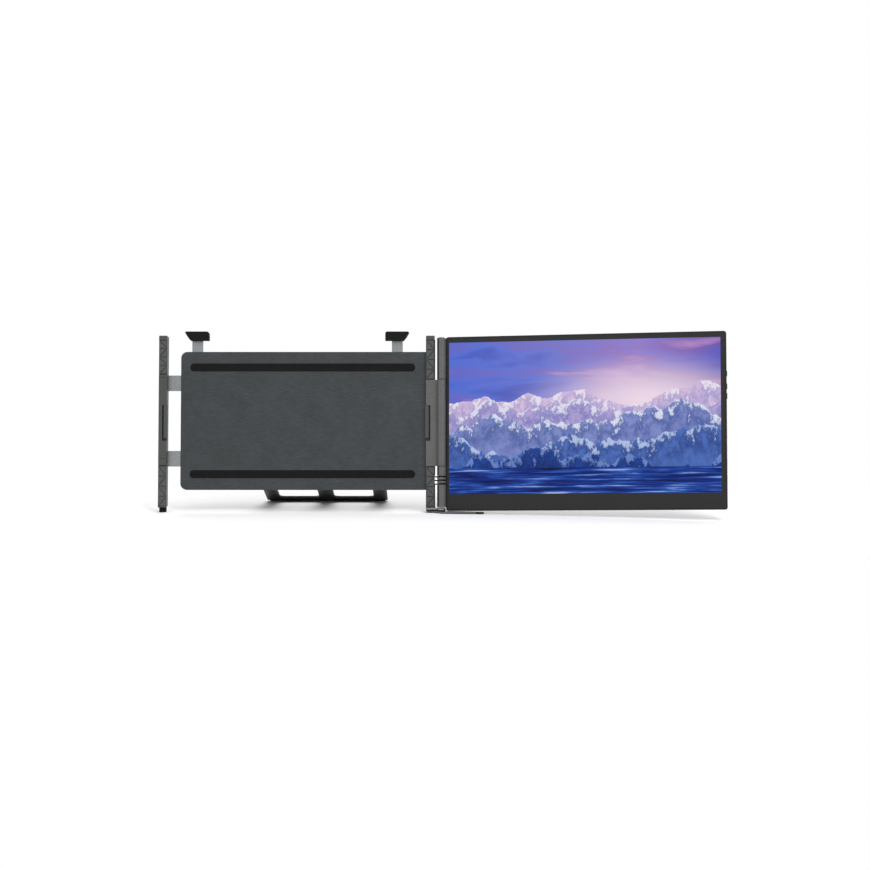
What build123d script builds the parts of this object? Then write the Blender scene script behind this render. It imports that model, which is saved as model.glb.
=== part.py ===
from build123d import *
import os
from math import asin, cos, degrees, radians, sin, tan

os.makedirs("parts", exist_ok=True)

# A portable monitor on a hinged bracket that grips the lid of a laptop, in millimetres.
# Pieces are drawn upright, with the screen hinge on the Z axis, X to the right and Y away from
# the viewer. Each is then moved by the pose of its body: the bracket leans back, and the screen
# is also swung toward the viewer. Pieces that lie flat on the table are drawn where they lie.

# How the object stands
lean = 9
swing = 12
clearance = 0.3
running_fit = 0.05
edge_round = 0.5

# Swing foot, base pad and base plate, stacked on the table
sole_thickness = 0.8
foot_thickness = 1.6
collar_height = 0.2
pad_thickness = 1.5
base_thickness = 2.1
foot_top = sole_thickness + foot_thickness
pad_low = foot_top + collar_height + clearance
base_low = pad_low + pad_thickness
base_top = base_low + base_thickness
base_front = 1.0
base_nose = 5.3
pivot_radius = 2.5
rivet_length = 7.0
hub_radius = 6.8
bend_point = (2.0, -3.0)
bend_radius = 4.2
tip_point = (50.6, -8.0)
tip_radius = 3.4

# Hinge
barrel_radius = 5.5
pin_radius = 2.2
bore_radius = pin_radius + running_fit
knuckle_low = 7.7
bridge_low = 60.0
knuckle_gap = 0.8
cover_thickness = 1.1
cover_angles = (120, 181, 242)
finger_count = 3
finger_low = 37.1
finger_pitch = 4.65
finger_thickness = 1.6
finger_root = 7.8

# Rails of the bracket
rail_right = -8.5
rail_width = 11.3
left_rail_width = 10.4
bay_width = 331.2
rail_top = 227.3
upper_length = 56.9
cap_height = 5.3
rail_front = 2.5
smooth_front = 2.0
facet_height = 0.7
facet_count = 4
seam = 0.6
spine_front = 5.5
spine_round = 3.0
rail_left = rail_right - rail_width
left_rail_inner = rail_left - bay_width
left_rail_outer = left_rail_inner - left_rail_width
bridge_top = rail_top - upper_length

# Bay plate behind the lid, from its soft pads to the recess of the stand
plate_gap = 17.2
plate_low = 30.0
plate_drop = 20.3
plate_corner = 8.0
pad_front = 8.5
pad_height = 10.0
pad_inset = 20.0
screw_inset = 12.0
screw_side_inset = 10.0
lower_screw_reach = 81.0
upper_screw_reach = 151.0
pad_left_margin = 12.0
pad_right_margin = 14.0
panel_front = pad_front + 1.0
shell_front = panel_front + 1.5
stem_thickness = 1.8
arm_thickness = 2.4
stand_thickness = 2.4
stem_span_y = (shell_front + clearance, shell_front + clearance + stem_thickness)
arm_span_y = (stem_span_y[1] + 0.8, stem_span_y[1] + 0.8 + arm_thickness)
recess_floor = arm_span_y[1] + 1.0
stand_span_y = (recess_floor + 0.6, recess_floor + 0.6 + stand_thickness)
bracket_back = stand_span_y[1] + 0.2
plate_left = left_rail_inner + plate_gap
plate_top = rail_top - plate_drop

# Arms on which the left rail slides
arm_width = 20.0
arm_inset = 40.0
arm_reach = 116.0
arm_retract = 16.0
arm_heights = (plate_low + arm_inset, plate_top - arm_inset)
arm_end = plate_left + arm_reach

# Top hooks
hook_rise = 5.2
hook_height = 11.2
hook_width = 30.6
hook_bar = 5.1
hook_front = 0.8
lip_thickness = 1.8
hook_down = 10.0
stem_width = 14.0
stem_reach = 70.0
hook_top = rail_top + hook_rise
hook_low = hook_top - hook_height
hook_back = stem_span_y[1] + clearance
hook_slot_back = shell_front - 0.4
stem_low = plate_top - stem_reach
stem_top = hook_top - hook_bar + 1.1
hook_centres = (plate_left + 20.9, rail_left - 36.8)

# Side clips, each in an open pocket of its rail
clip_low = 95.9
clip_top = 137.6
clip_width = 4.7
clip_overlap = 1.1
clip_front = 0.8
clip_lip = 1.1
clip_travel = 1.7
pocket_floor = 7.2
pocket_drop = 3.6

# Rear stand
stand_centre = -151.0
stand_width = 160.0
stand_axis_z = plate_low + 8.0
stand_axis_y = (stand_span_y[0] + stand_span_y[1]) / 2
stand_reach = 103.0
stand_barrel = 1.7
stand_pin = 1.0
pin_length = 12.0
strip_radius = 1.6
window_width = 52.0
window_margin = 18.0
notch_width = 28.0
notch_rise = 8.0
notch_corner = 4.0

# Screen: a 15.6 inch panel, its bezels and the layers behind it, from front to back
active_width = 344.2
active_height = 193.6
left_bezel = 4.0
right_bezel = 7.0
top_bezel = 7.4
bottom_bezel = 21.2
screen_left = 5.7
screen_low = 2.8
screen_front = 1.0
screen_corner = 3.0
wall = 1.6
back_wall = 1.2
panel_margin = 1.4
panel_skirt = 2.0
chip_height = 0.9
glass_front = screen_front + 0.8
glass_back = glass_front + 1.0
diffuser_back = glass_back + 0.4
guide_back = diffuser_back + 1.6
tray_back = guide_back + 0.4
leaf_span_y = (tray_back + clearance, tray_back + clearance + 2.0)
board_front = tray_back + 1.2
board_back = board_front + 1.0
inside_back = board_back + chip_height + 0.5
screen_back = inside_back + back_wall
side_back = screen_back - 3.0
back_bevel = 5.0
side_bevel = 0.8
screen_width = left_bezel + active_width + right_bezel
screen_height = bottom_bezel + active_height + top_bezel
screen_right = screen_left + screen_width
screen_top = screen_low + screen_height
active_left = screen_left + left_bezel
active_low = screen_low + bottom_bezel
knuckle_top = screen_top - 1.4
web_reach = screen_left - 0.2

# Ports and buttons on the outer edge of the screen
hdmi_height = screen_low + 47.2
usb_heights = (hdmi_height + 20.0, hdmi_height + 36.0)
usb_size = (8.9, 3.2)
hdmi_size = (10.6, 2.8)
port_depth = 7.2
port_middle = (board_front + board_back) / 2
power_height = screen_top - 53.0
button_heights = {"power": power_height, "plus": power_height - 16.0, "minus": power_height - 28.0}
button_size = (7.0, 2.2)
button_middle = side_back - 0.4
button_proud = 0.6

# Circuit board
board_width = 66.0
board_right = screen_right - wall - 4.0
board_left = board_right - board_width
board_low = hdmi_height - 16.0
board_high = usb_heights[1] + 14.0

# Flat cable from the board to the panel
flex_low = board_low + 26.0
flex_width = 16.0
flex_reach = 40.0
flex_overlap = 12.0

# Speakers in the bottom bezel
speaker_length = 36.0
speaker_height = 11.5
speaker_margin = 41.0
speaker_low = screen_low + 4.7

# Screws
screw_radius = 1.0
screw_head = 1.9
head_depth = 1.0
post_radius = 2.8
post_front = glass_front + 1.2
leaf_screw_x = screen_left + 8.4
leaf_screw_inset = 10.5
leaf_reach = 8.0
cover_screw_count = 4
cover_screw_inset = 84.0
cover_screw_outset = 30.0
cover_screw_left = screen_left + cover_screw_inset
cover_screw_right = screen_right - cover_screw_outset
cover_screw_height = screen_low + 8.2

# Poses of the bodies
bracket_pose = Rot(-lean, 0, 0)
screen_pose = bracket_pose * Rot(0, 0, -swing)
table_pose = Rot(0, 0, 0)


def facing(y):
    """Plane at depth y that faces the viewer, with X and Z as its own axes."""
    return Plane(origin=(0, y, 0), x_dir=(1, 0, 0), z_dir=(0, -1, 0))


def level(height):
    """Plane of the upright bracket that lies level at this height once the bracket leans."""
    up = (0, -sin(radians(lean)), cos(radians(lean)))
    return Plane(origin=(0, height * up[1], height * up[2]), x_dir=(1, 0, 0), z_dir=up)


def slab(x_span, z_span, y_span, corner=0, mode=Mode.ADD):
    """Plate parallel to the front, between two depths."""
    width = x_span[1] - x_span[0]
    height = z_span[1] - z_span[0]
    with BuildSketch(facing(y_span[1])) as outline:
        with Locations(((x_span[0] + x_span[1]) / 2, (z_span[0] + z_span[1]) / 2)):
            if corner:
                RectangleRounded(width, height, corner)
            else:
                Rectangle(width, height)
    extrude(outline.sketch, amount=y_span[1] - y_span[0], mode=mode)


def rod(centre, radius, y_span, mode=Mode.ADD):
    """Round post or hole from front to back, centred at (x, z)."""
    with BuildSketch(facing(y_span[1])) as outline:
        with Locations(centre):
            Circle(radius)
    extrude(outline.sketch, amount=y_span[1] - y_span[0], mode=mode)


def column(points, z_span, mode=Mode.ADD):
    """Upright prism over an outline in X and Y."""
    with BuildSketch(Plane.XY.offset(z_span[0])) as outline:
        Polygon(*points, align=None)
    extrude(outline.sketch, amount=z_span[1] - z_span[0], mode=mode)


def round_column(radius, z_span, mode=Mode.ADD):
    """Upright cylinder on the hinge axis."""
    with BuildSketch(Plane.XY.offset(z_span[0])) as outline:
        Circle(radius)
    extrude(outline.sketch, amount=z_span[1] - z_span[0], mode=mode)


def disc(centre, radius, z_span, mode=Mode.ADD):
    """Flat disc between two heights, centred at (x, y)."""
    with BuildSketch(Plane.XY.offset(z_span[0])) as outline:
        with Locations(centre):
            Circle(radius)
    extrude(outline.sketch, amount=z_span[1] - z_span[0], mode=mode)


def crossbar(centre, radius, x_span, mode=Mode.ADD):
    """Round bar along X, centred at (y, z)."""
    with BuildSketch(Plane.YZ.offset(x_span[0])) as outline:
        with Locations(centre):
            Circle(radius)
    extrude(outline.sketch, amount=x_span[1] - x_span[0], mode=mode)


def around(middle, half):
    """Span that reaches as far on both sides of its middle."""
    return (middle - half, middle + half)


def beyond(edge, outward, near, far):
    """Span in X between two distances outward from an edge of the bay."""
    return sorted((edge + outward * near, edge + outward * far))


def write(piece, label, pose):
    """Move a finished piece into its pose and save it."""
    piece.part = pose * piece.part
    piece.part.label = label
    export_step(piece.part, f"parts/{label}.step")


# Rails

finger_heights = [finger_low + index * finger_pitch for index in range(finger_count)]
finger_span_y = (spine_front + 0.1, spine_front + 1.9)
pivot_point = ((rail_left + rail_right) / 2 + 2.0, 12.5)


def spine(x_span, outer_x):
    """Rail behind its face plates, cut level above the base, rounded on its outer back edge."""
    slab(x_span, (0, rail_top - cap_height), (spine_front, bracket_back))
    split(bisect_by=level(base_top), keep=Keep.TOP)
    outer = [edge for edge in edges().filter_by(Axis.Z)
             if abs(edge.center().X - outer_x) < 0.01 and edge.center().Y > spine_front + 1]
    fillet(outer, spine_round)


def clip_pocket(edge_x, outward):
    """Open pocket in the inner side of a rail, with room for the travel of its clip."""
    depth = clip_width - clip_overlap + clip_travel + clearance
    slab(beyond(edge_x, outward, -1, depth), (clip_low - pocket_drop, clip_top + clearance),
         (clip_front, pocket_floor), mode=Mode.SUBTRACT)


with BuildPart() as right_rail:
    spine((rail_left, rail_right), rail_right)
    clip_pocket(rail_left, 1)
    for height in finger_heights:
        slab((rail_right - finger_root - running_fit, rail_right),
             around(height, finger_thickness / 2 + running_fit),
             (spine_front, finger_span_y[1] + running_fit), mode=Mode.SUBTRACT)
    with BuildSketch(level(base_top)):
        with Locations(pivot_point):
            Circle(pivot_radius + running_fit)
    extrude(amount=rivet_length + 1, mode=Mode.SUBTRACT)
write(right_rail, "right_rail", bracket_pose)

with BuildPart() as left_rail:
    spine((left_rail_outer, left_rail_inner), left_rail_outer)
    clip_pocket(left_rail_inner, -1)
    for height in arm_heights:
        slab((left_rail_outer + 2, left_rail_inner), around(height, arm_width / 2), arm_span_y,
             mode=Mode.SUBTRACT)
write(left_rail, "left_rail", bracket_pose)


# Face plates of the rails

def faceted_trim(x_span, z_span):
    """Face plate with a zigzag of raised triangular facets."""
    face = rail_front + facet_height
    slab(x_span, z_span, (face, spine_front))
    left, right = x_span[0] + 0.5, x_span[1] - 0.5
    low, high = max(z_span[0], base_top + 1.5) + 0.5, z_span[1] - 0.5
    pitch = (high - low) / facet_count
    for cell in range(facet_count):
        start, end = low + cell * pitch, low + (cell + 1) * pitch
        near, far = (left, right) if cell % 2 else (right, left)
        lower = [(near, start + 0.3), (far, start + 0.3), (near, end - 1.0)]
        upper = [(far, start + 1.0), (far, end - 0.3), (near, end - 0.3)]
        for corners in (lower, upper):
            with BuildSketch(facing(face)) as facet:
                Polygon(*corners, align=None)
            extrude(facet.sketch, amount=facet_height, taper=45)


left_cover_low = bridge_low + 1.2
left_cover_top = bridge_top + 6.4

with BuildPart() as right_upper_trim:
    faceted_trim((rail_left, rail_right), (bridge_top + seam, rail_top - cap_height))
write(right_upper_trim, "right_upper_trim", bracket_pose)

with BuildPart() as right_lower_trim:
    faceted_trim((rail_left, rail_right), (0, bridge_low - seam))
    split(bisect_by=level(base_top), keep=Keep.TOP)
write(right_lower_trim, "right_lower_trim", bracket_pose)

with BuildPart() as left_upper_trim:
    faceted_trim((left_rail_outer, left_rail_inner), (left_cover_top + seam, rail_top - cap_height))
write(left_upper_trim, "left_upper_trim", bracket_pose)

with BuildPart() as left_lower_trim:
    faceted_trim((left_rail_outer, left_rail_inner), (0, left_cover_low - seam))
    split(bisect_by=level(base_top), keep=Keep.TOP)
write(left_lower_trim, "left_lower_trim", bracket_pose)

with BuildPart() as left_middle_cover:
    slab((left_rail_outer, left_rail_inner), (left_cover_low, left_cover_top), (smooth_front, spine_front))
    fillet(faces().sort_by(Axis.Y)[0].edges().filter_by(Axis.Z), edge_round)
    for groove in (left_cover_low + 8.2, left_cover_top - 3.4):
        slab((left_rail_outer, left_rail_inner), around(groove, 0.5), (smooth_front, smooth_front + 0.6),
             mode=Mode.SUBTRACT)
    clip_pocket(left_rail_inner, -1)
write(left_middle_cover, "left_middle_cover", bracket_pose)

for side, x_span in (("right", (rail_left, rail_right)), ("left", (left_rail_outer, left_rail_inner))):
    with BuildPart() as rail_cap:
        slab(x_span, (rail_top - cap_height, rail_top), (rail_front - 0.3, bracket_back))
        fillet(faces().sort_by(Axis.Z)[-1].edges(), 1.0)
    write(rail_cap, f"{side}_cap", bracket_pose)


# Hinge

with BuildPart() as hinge_bridge:
    column([(rail_left, spine_front), (rail_left, smooth_front), (0, smooth_front), (0, barrel_radius),
            (rail_right, barrel_radius), (rail_right, spine_front)], (bridge_low, bridge_top))
    round_column(barrel_radius, (bridge_low, bridge_top))
    round_column(bore_radius, (bridge_low, bridge_top), mode=Mode.SUBTRACT)
    clip_pocket(rail_left, 1)
write(hinge_bridge, "hinge_bridge", bracket_pose)

with BuildPart() as hinge_pin:
    round_column(pin_radius, (knuckle_low, knuckle_top + clearance))
    round_column(pin_radius + 1.2, (knuckle_top + clearance, knuckle_top + 1.3))
    fillet(edges().sort_by(Axis.Z)[-1], 0.6)
write(hinge_pin, "hinge_pin", bracket_pose)

finger_middle_y = (finger_span_y[0] + finger_span_y[1]) / 2
finger_half = (finger_span_y[1] - finger_span_y[0]) / 2
finger_bend_x = rail_right + 2.0

with BuildPart() as hinge_fingers:
    for height in finger_heights:
        with BuildSketch(Plane.XY.offset(height - finger_thickness / 2)):
            with BuildLine():
                CenterArc((0, 0), barrel_radius - 1.6, 0, 360)
                CenterArc((finger_bend_x, finger_middle_y), finger_half, 0, 360)
            make_hull()
            Circle(barrel_radius - 0.8)
            with Locations(((rail_right - finger_root + finger_bend_x) / 2, finger_middle_y)):
                Rectangle(finger_root + 2.0, 2 * finger_half)
            Circle(bore_radius, mode=Mode.SUBTRACT)
        extrude(amount=finger_thickness)
write(hinge_fingers, "hinge_fingers", bracket_pose)

lower_span = (knuckle_low, bridge_low - knuckle_gap)
upper_span = (bridge_top + knuckle_gap, knuckle_top)
fingers_span = (finger_heights[0] - 2.0, finger_heights[-1] + 2.0)
cover_spans = [(lower_span[0], fingers_span[0]), (fingers_span[1], lower_span[1]), upper_span]


def barrel_flank(inner_radius, z_span, mode=Mode.ADD):
    """Curved strip on the side of a knuckle's barrel that faces the rail."""
    rays = [(2 * barrel_radius * cos(radians(angle)), 2 * barrel_radius * sin(radians(angle)))
            for angle in cover_angles]
    with BuildSketch(Plane.XY.offset(z_span[0])) as outline:
        Circle(barrel_radius)
        Circle(inner_radius, mode=Mode.SUBTRACT)
        Polygon((0, 0), *rays, align=None, mode=Mode.INTERSECT)
    extrude(outline.sketch, amount=z_span[1] - z_span[0], mode=mode)


def knuckle(z_span):
    """Screen knuckle: barrel, web to the edge of the screen and leaf inside the housing."""
    round_column(barrel_radius, z_span)
    column([(0, -1.0), (web_reach, screen_front + 0.2), (web_reach, leaf_span_y[1] - 0.3), (-1.5, 4.7)],
           z_span)
    for cover_span in cover_spans:
        if z_span[0] <= cover_span[0] < z_span[1]:
            barrel_flank(barrel_radius - cover_thickness - running_fit, cover_span, mode=Mode.SUBTRACT)
    slab((web_reach - 1, leaf_screw_x + leaf_reach), (z_span[0] + 4, z_span[1] - 4), leaf_span_y)
    round_column(bore_radius, z_span, mode=Mode.SUBTRACT)


leaf_screws = [(leaf_screw_x, z) for span in (lower_span, upper_span)
               for z in (span[0] + leaf_screw_inset, span[1] - leaf_screw_inset)]
cover_screw_pitch = (cover_screw_right - cover_screw_left) / (cover_screw_count - 1)
cover_screws = [(cover_screw_left + index * cover_screw_pitch, cover_screw_height)
                for index in range(cover_screw_count)]

with BuildPart() as upper_knuckle:
    knuckle(upper_span)
    for centre in leaf_screws[2:]:
        rod(centre, screw_radius, leaf_span_y, mode=Mode.SUBTRACT)
write(upper_knuckle, "upper_knuckle", screen_pose)

with BuildPart() as lower_knuckle:
    knuckle(lower_span)
    for height in finger_heights:
        round_column(barrel_radius + 0.2, around(height, finger_thickness / 2 + clearance),
                     mode=Mode.SUBTRACT)
    for centre in leaf_screws[:2]:
        rod(centre, screw_radius, leaf_span_y, mode=Mode.SUBTRACT)
write(lower_knuckle, "lower_knuckle", screen_pose)

with BuildPart() as knuckle_covers:
    for cover_span in cover_spans:
        barrel_flank(barrel_radius - cover_thickness, cover_span)
write(knuckle_covers, "knuckle_covers", screen_pose)


# Base plate, swing foot and rubber feet, drawn as they lie on the table

axis_y = (pad_low + base_top) / 2 * tan(radians(lean))
base_back = bracket_back * cos(radians(lean)) + base_top * tan(radians(lean))


def base_layer(z_span):
    """Layer of the base under the right rail and the hinge."""
    disc((0, axis_y), base_nose, z_span)
    column([(rail_left, base_front), (0, base_front), (0, axis_y + base_nose),
            (rail_right, axis_y + base_nose), (rail_right, base_back), (rail_left, base_back)], z_span)
    disc(pivot_point, pivot_radius + running_fit, z_span, mode=Mode.SUBTRACT)


with BuildPart() as base_plate:
    base_layer((base_low, base_top))
write(base_plate, "base_plate", table_pose)

with BuildPart() as base_pad:
    base_layer((pad_low, base_low))
write(base_pad, "base_pad", table_pose)


def foot_outline(shrink):
    """Lever of the foot: hub at the pivot, bend below the hinge, narrow tip."""
    discs = [(pivot_point, hub_radius), (bend_point, bend_radius), (tip_point, tip_radius)]
    for start, end in zip(discs, discs[1:]):
        with BuildLine() as rims:
            CenterArc(start[0], start[1] - shrink, 0, 360)
            CenterArc(end[0], end[1] - shrink, 0, 360)
        make_hull(rims.edges())


with BuildPart() as swing_foot:
    with BuildSketch(Plane.XY.offset(sole_thickness)):
        foot_outline(0)
    extrude(amount=foot_thickness)
    disc(pivot_point, pivot_radius + 2.0, (foot_top, foot_top + collar_height))
    disc(pivot_point, pivot_radius + running_fit, (sole_thickness, pad_low), mode=Mode.SUBTRACT)
write(swing_foot, "swing_foot", table_pose)

with BuildPart() as swing_foot_sole:
    with BuildSketch(Plane.XY):
        foot_outline(0.4)
        with Locations(pivot_point):
            Circle(pivot_radius + 2.1, mode=Mode.SUBTRACT)
    extrude(amount=sole_thickness)
write(swing_foot_sole, "swing_foot_sole", table_pose)

with BuildPart() as foot_pivot:
    disc(pivot_point, pivot_radius + 1.8, (0.2, sole_thickness - 0.1))
    disc(pivot_point, pivot_radius, (sole_thickness - 0.1, base_top + rivet_length))
write(foot_pivot, "foot_pivot", table_pose)

with BuildPart() as left_rail_foot:
    with BuildSketch(Plane.XY):
        with Locations(((left_rail_outer + left_rail_inner) / 2, 14.5)):
            RectangleRounded(left_rail_width - 2, 13.0, 2.0)
    extrude(amount=base_top)
write(left_rail_foot, "left_rail_foot", table_pose)


# Bay plate: panel, shell, pads and arms

screw_ends = [plate_left + screw_side_inset, rail_left - screw_inset]
lower_screws = [(x, plate_low + screw_inset) for x in screw_ends + [plate_left + lower_screw_reach]]
upper_screws = [(x, plate_top - screw_inset) for x in screw_ends + [plate_left + upper_screw_reach]]
shell_screws = lower_screws + upper_screws
shell_screw = 1.4
shell_screw_head = 2.7
shell_head_depth = 1.6


def plate_outline(y_span):
    """Bay plate between the right rail and its rounded left corners."""
    slab((plate_left, rail_left), (plate_low, plate_top), y_span)
    corners = [edge for edge in edges().filter_by(Axis.Y) if edge.center().X < plate_left + 1]
    fillet(corners, plate_corner)


with BuildPart() as bay_panel:
    plate_outline((panel_front, shell_front))
    for centre in shell_screws:
        rod(centre, shell_screw, (shell_front - 1.0, shell_front), mode=Mode.SUBTRACT)
write(bay_panel, "bay_panel", bracket_pose)

stand_span_x = around(stand_centre, stand_width / 2)
recess_top = stand_axis_z + stand_reach + strip_radius + 1.0
stand_axis = (stand_axis_y, stand_axis_z)

with BuildPart() as rear_shell:
    plate_outline((shell_front, bracket_back))
    rear_edges = faces().sort_by(Axis.Y)[-1].edges().filter_by(lambda edge: edge.center().X < rail_left - 1)
    chamfer(rear_edges, 1.2)
    for height in arm_heights:
        slab((plate_left - 1, arm_end + arm_retract + 2), around(height, arm_width / 2 + clearance),
             (arm_span_y[0] - clearance, arm_span_y[1] + clearance), mode=Mode.SUBTRACT)
    for centre in hook_centres:
        slab(around(centre, stem_width / 2 + clearance), (stem_low - hook_down - 2, plate_top + 1),
             (shell_front, stem_span_y[1] + clearance), mode=Mode.SUBTRACT)
    slab(around(stand_centre, stand_width / 2 + 0.4), (stand_axis_z - 5, recess_top),
         (recess_floor, bracket_back + 1), mode=Mode.SUBTRACT)
    slab(around(stand_centre, notch_width / 2), (recess_top - 1, recess_top + notch_rise),
         (recess_floor, bracket_back + 1), corner=notch_corner, mode=Mode.SUBTRACT)
    crossbar(stand_axis, stand_pin, around(stand_centre, (stand_width + pin_length) / 2), mode=Mode.SUBTRACT)
    for centre in shell_screws:
        rod(centre, shell_screw, (shell_front, bracket_back), mode=Mode.SUBTRACT)
        rod(centre, shell_screw_head + 0.1, (bracket_back - shell_head_depth, bracket_back),
            mode=Mode.SUBTRACT)
write(rear_shell, "rear_shell", bracket_pose)

with BuildPart() as bracket_screws:
    for centre in shell_screws:
        rod(centre, shell_screw, (shell_front - 1.0, bracket_back - shell_head_depth))
        rod(centre, shell_screw_head, (bracket_back - shell_head_depth, bracket_back - 0.2))
write(bracket_screws, "bracket_screws", bracket_pose)

with BuildPart() as bay_pads:
    for height in (plate_low + pad_inset, plate_top - pad_inset):
        slab((plate_left + pad_left_margin, rail_left - pad_right_margin), around(height, pad_height / 2),
             (pad_front, panel_front), corner=pad_height / 2 - 0.5)
write(bay_pads, "bay_pads", bracket_pose)

with BuildPart() as slide_arms:
    for height in arm_heights:
        slab((left_rail_outer + 2, arm_end), around(height, arm_width / 2), arm_span_y)
write(slide_arms, "slide_arms", bracket_pose)


# Top hooks

def hook(centre, outward):
    """Hook over the lid: pointed outer end, lip in front, slot for the lid and pocket for the stem."""
    half = hook_width / 2
    outline = [(half, hook_top - 1.3), (half - 1.6, hook_top), (-half + 1.8, hook_top),
               (-half, hook_top - 1.7), (-half, hook_low), (half - 6.8, hook_low), (half - 3.2, hook_low + 4.5)]
    points = [(centre + outward * x, z) for x, z in outline]
    with BuildSketch(facing(hook_back)) as face:
        Polygon(*points, align=None)
    extrude(face.sketch, amount=hook_back - hook_front)
    fillet(faces().sort_by(Axis.Z)[-1].edges().filter_by(Axis.X), 0.8)
    slab(around(centre, half + 1), (hook_low - 1, hook_top - hook_bar),
         (hook_front + lip_thickness, hook_slot_back), mode=Mode.SUBTRACT)
    slab(around(centre, stem_width / 2), (hook_low, stem_top), stem_span_y, mode=Mode.SUBTRACT)


for side, centre, outward in (("left", hook_centres[0], -1), ("right", hook_centres[1], 1)):
    with BuildPart() as top_hook:
        hook(centre, outward)
    write(top_hook, f"{side}_hook", bracket_pose)
    with BuildPart() as top_stem:
        slab(around(centre, stem_width / 2), (stem_low, stem_top), stem_span_y)
    write(top_stem, f"{side}_hook_stem", bracket_pose)
    with BuildPart() as top_pad:
        slab(around(centre - outward, hook_width / 2 - 3), (hook_top - hook_bar - 1.0, hook_top - hook_bar),
             (hook_front + lip_thickness + 0.4, hook_slot_back - 0.4))
    write(top_pad, f"{side}_hook_pad", bracket_pose)


# Side clips

def side_clip(edge_x, outward):
    """Clip with its lip over the lid and its body in the pocket of the rail."""
    outer = clip_width - clip_overlap
    slab(beyond(edge_x, outward, -clip_overlap, outer), (clip_low, clip_top),
         (clip_front, clip_front + clip_lip))
    chamfer(faces().sort_by(Axis.Y)[0].edges(), 0.4)
    slab(beyond(edge_x, outward, clearance, outer), (clip_low, clip_top),
         (clip_front + clip_lip, pocket_floor - clearance))


for side, edge_x, outward in (("right", rail_left, 1), ("left", left_rail_inner, -1)):
    with BuildPart() as clip:
        side_clip(edge_x, outward)
    write(clip, f"{side}_clip", bracket_pose)
    with BuildPart() as clip_pad:
        slab(beyond(edge_x, outward, 0.1 - clip_overlap, -0.1), (clip_low + 1, clip_top - 1),
             (clip_front + clip_lip, clip_front + clip_lip + 0.5))
    write(clip_pad, f"{side}_clip_pad", bracket_pose)


# Rear stand, drawn folded up in its recess and then opened until its strip rests on the table

axis_height = stand_axis_z * cos(radians(lean)) - stand_axis_y * sin(radians(lean))
stand_drop = degrees(asin((axis_height - strip_radius) / stand_reach))
stand_open = 90 - lean + stand_drop
stand_pose = (bracket_pose * Pos(0, stand_axis_y, stand_axis_z) * Rot(-stand_open, 0, 0)
              * Pos(0, -stand_axis_y, -stand_axis_z))

with BuildPart() as stand_flap:
    slab(stand_span_x, (stand_axis_z, stand_axis_z + stand_reach - strip_radius), stand_span_y)
    crossbar(stand_axis, stand_barrel, stand_span_x)
    window_span_z = (stand_axis_z + window_margin, stand_axis_z + stand_reach - window_margin)
    for middle in (stand_centre - stand_width / 4 + 4, stand_centre + stand_width / 4 - 4):
        slab(around(middle, window_width / 2), window_span_z, (stand_span_y[0] - 1, stand_span_y[1] + 1),
             corner=8, mode=Mode.SUBTRACT)
    crossbar(stand_axis, stand_pin + running_fit, stand_span_x, mode=Mode.SUBTRACT)
write(stand_flap, "stand_flap", stand_pose)

with BuildPart() as stand_strip:
    strip_span_x = around(stand_centre, stand_width / 2 - 3)
    crossbar((stand_axis_y, stand_axis_z + stand_reach), strip_radius, strip_span_x)
    slab(strip_span_x, around(stand_axis_z + stand_reach - strip_radius / 2, strip_radius / 2),
         around(stand_axis_y, strip_radius - 0.4))
write(stand_strip, "stand_strip", stand_pose)

with BuildPart() as stand_pins:
    for end in stand_span_x:
        crossbar(stand_axis, stand_pin, around(end, pin_length / 2))
write(stand_pins, "stand_pins", bracket_pose)


# Screen housing

def screen_outline(inset, y_span, mode=Mode.ADD):
    """Plate with the outline of the screen, moved inward by the inset."""
    slab((screen_left + inset, screen_right - inset), (screen_low + inset, screen_top - inset), y_span,
         corner=max(screen_corner - inset, 0.5), mode=mode)


def tapered_back(y_span, start_inset, end_inset, side_inset, corner, mode=Mode.ADD):
    """Back of the housing, whose top and bottom slope in toward the back."""
    sections = []
    for depth, inset, side in ((y_span[0], start_inset, start_inset), (y_span[1], end_inset, side_inset)):
        with BuildSketch(facing(depth)) as section:
            with Locations(((screen_left + screen_right) / 2, (screen_low + screen_top) / 2)):
                RectangleRounded(screen_width - 2 * side, screen_height - 2 * inset, corner)
        sections.append(section.sketch)
    loft(sections=sections, mode=mode)


def panel_layer(inset, y_span, skirt=panel_skirt, mode=Mode.ADD):
    """One layer of the display behind the active area, with a skirt below it."""
    margin = panel_margin - inset
    slab((active_left - margin, active_left + active_width + margin),
         (active_low - margin - skirt, active_low + active_height + margin), y_span, mode=mode)


def edge_slot(x_span, y_middle, z_middle, size, mode=Mode.ADD):
    """Oblong block or hole through the outer edge: size is length along Z and height along Y."""
    with BuildSketch(Plane.YZ.offset(x_span[0])) as outline:
        with Locations((y_middle, z_middle)):
            RectangleRounded(size[1], size[0], size[1] / 2 - 0.05)
    extrude(outline.sketch, amount=x_span[1] - x_span[0], mode=mode)


with BuildPart() as front_bezel:
    screen_outline(wall + 0.1, (screen_front, glass_front))
    for centre in cover_screws:
        rod(centre, post_radius, (glass_front, post_front))
        rod(centre, screw_radius, (glass_front + 0.4, post_front), mode=Mode.SUBTRACT)
    slab((active_left, active_left + active_width), (active_low, active_low + active_height),
         (screen_front, glass_front), mode=Mode.SUBTRACT)
write(front_bezel, "front_bezel", screen_pose)

speaker_lefts = (screen_left + speaker_margin, screen_right - speaker_margin - speaker_length)
grille_rows = 6
grille_pitch = 4.0

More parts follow.
